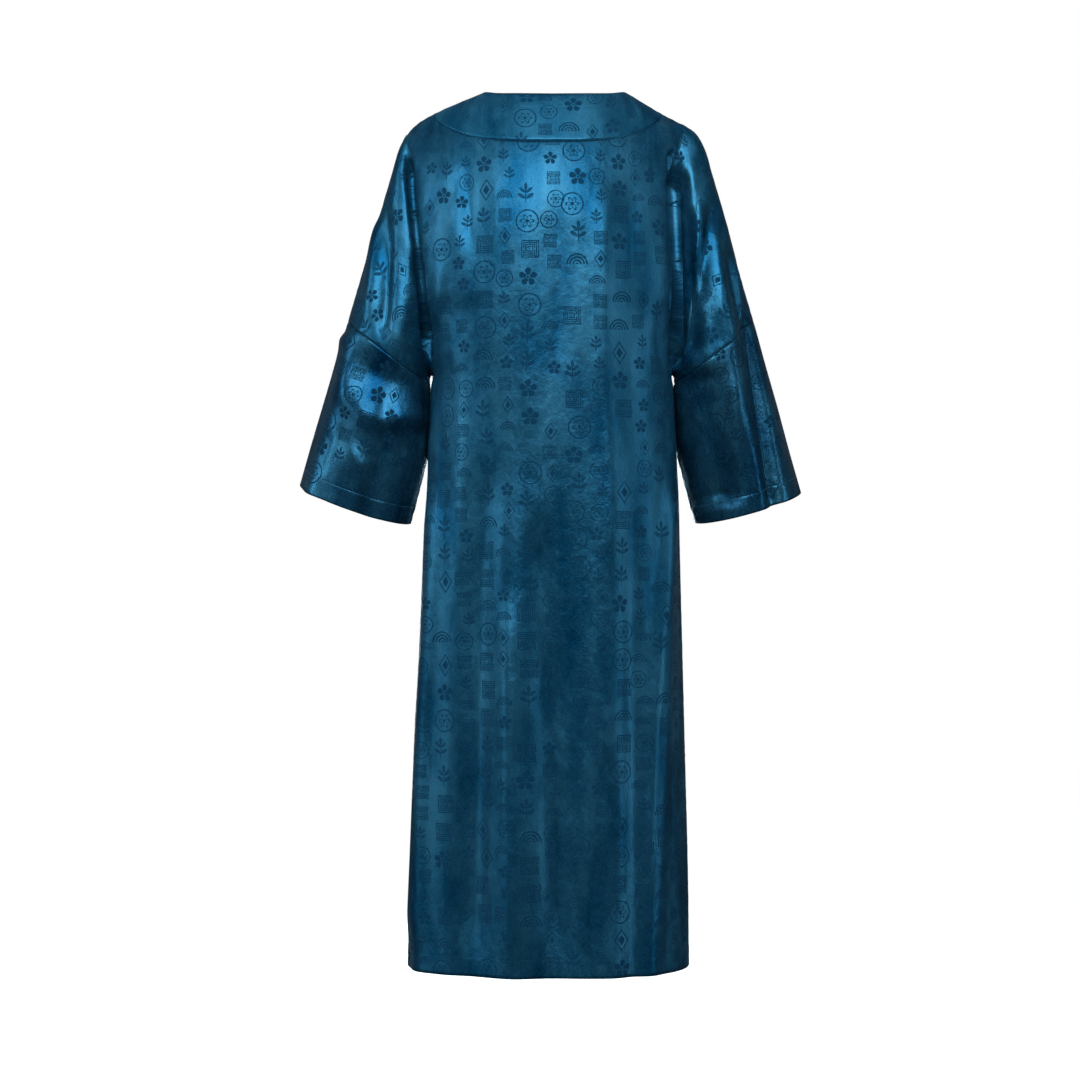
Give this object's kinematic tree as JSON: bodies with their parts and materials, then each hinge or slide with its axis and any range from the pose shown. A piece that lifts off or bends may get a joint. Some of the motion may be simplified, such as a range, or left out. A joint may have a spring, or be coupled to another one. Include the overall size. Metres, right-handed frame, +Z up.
{
  "type": "robe coat",
  "caption": "Long open-front robe coat of satin jacquard with grown-on upper sleeves, wide sewn-on lower sleeves and a broad band round the neck and fronts.",
  "frame": {"origin": "between the shoulders, level with the outer ends of the shoulder seams, where the wearer carries the coat", "axes": "+Z up along the coat, +X towards the wearer's left, -Y the way the wearer faces"},
  "size_m": [0.6878, 0.2954, 1.1867],
  "materials": {
    "satin": "deep teal-blue satin with a woven pattern",
    "band_satin": "deep teal-blue satin with a woven pattern",
    "sleeve_satin": "deep teal-blue satin with a woven pattern"
  },
  "bodies": {
    "root": {"back": "satin", "back_skirt": "satin", "front_left": "satin", "front_left_skirt": "satin", "front_right": "satin", "front_right_skirt": "satin", "neckband_back": "band_satin", "front_band_left": "band_satin", "front_band_right": "band_satin", "sleeve_left": "sleeve_satin", "sleeve_right": "sleeve_satin"}
  },
  "joints": []
}
